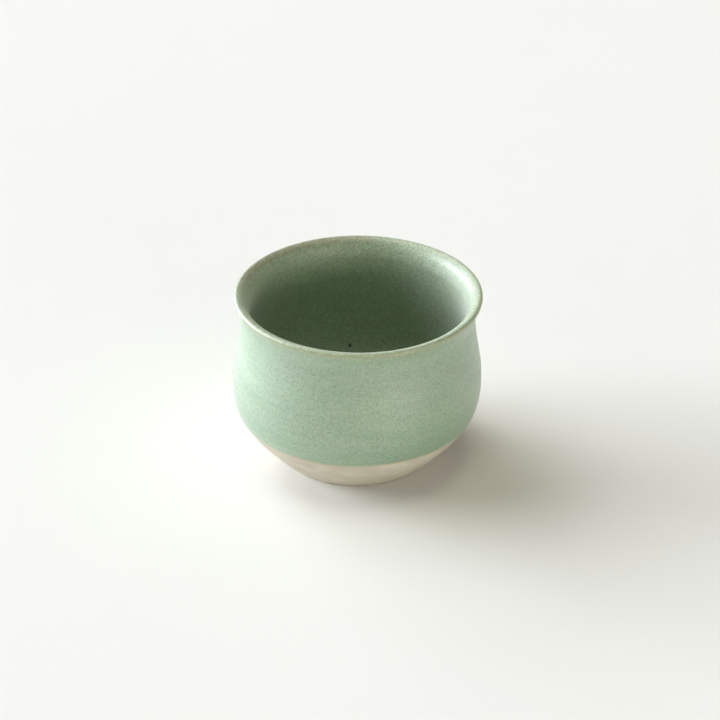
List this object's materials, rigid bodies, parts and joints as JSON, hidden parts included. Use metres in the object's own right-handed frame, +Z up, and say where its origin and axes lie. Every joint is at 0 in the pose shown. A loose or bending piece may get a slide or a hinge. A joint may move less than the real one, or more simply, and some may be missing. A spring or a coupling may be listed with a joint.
{
  "type": "tea bowl",
  "caption": "Round stoneware tea bowl for whisking matcha, with a full belly, a soft neck, a flared rounded lip and a bare turned foot below the glaze line.",
  "frame": {"origin": "centre of the circle that the foot rests on, at the level of the table", "axes": "+Z up along the bowl's axis of revolution; X and Y are equivalent"},
  "size_m": [0.113, 0.113, 0.08],
  "materials": {
    "bare_clay": "unglazed cream stoneware, matte, with fine turning lines and a slightly toasted edge below the glaze",
    "green_glaze": "satin celadon green, softly clouded and finely speckled, breaking to tan on the lip"
  },
  "bodies": {
    "root": {"clay_body": "bare_clay", "glaze_inside": "green_glaze", "glaze_outside": "green_glaze"}
  },
  "joints": []
}
